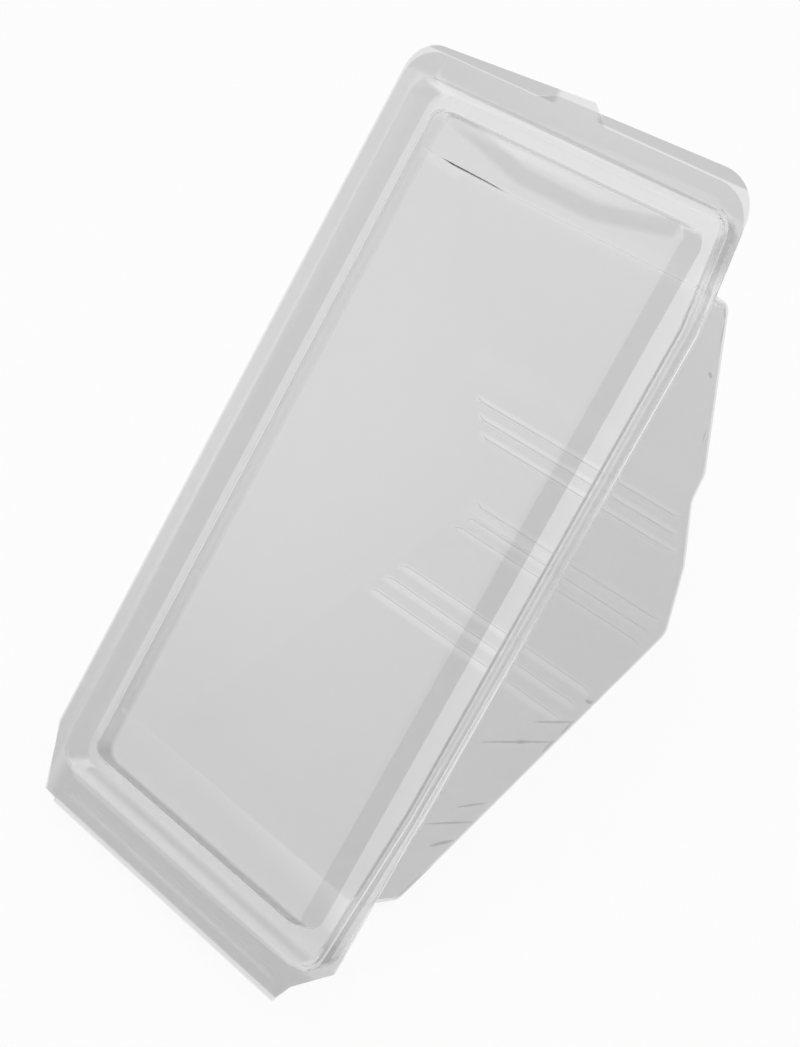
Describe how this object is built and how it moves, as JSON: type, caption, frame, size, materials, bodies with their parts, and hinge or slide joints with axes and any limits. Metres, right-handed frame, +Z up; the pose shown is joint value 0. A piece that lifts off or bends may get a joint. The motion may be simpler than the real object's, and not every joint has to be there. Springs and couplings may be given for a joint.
{
  "type": "hinged sandwich wedge pack",
  "caption": "Clear thermoformed three-cornered clamshell with a hinged lid, plug rim, ribbed legs and offset opening tabs; stands closed on one leg of its wedge.",
  "frame": {"origin": "on the table, under the middle of the closed pack's box", "axes": "+Z up, +X across the pack to the right as seen from the lid, -Y towards the low hinge edge that the lid slopes down to"},
  "size_m": [0.0874, 0.1334, 0.1239],
  "materials": {
    "clear_sheet": "clear glossy thermoformed sheet, slightly grey, see-through"
  },
  "bodies": {
    "base": {"wedge_base": "clear_sheet"},
    "lid": {"hinged_lid": "clear_sheet"}
  },
  "joints": [
    {"name": "lid_hinge", "type": "hinge", "parent": "base", "child": "lid", "pos_m": [0, -0.06618, 0.00342], "axis": [1, 0, 0], "range_deg": [0, 135]}
  ]
}
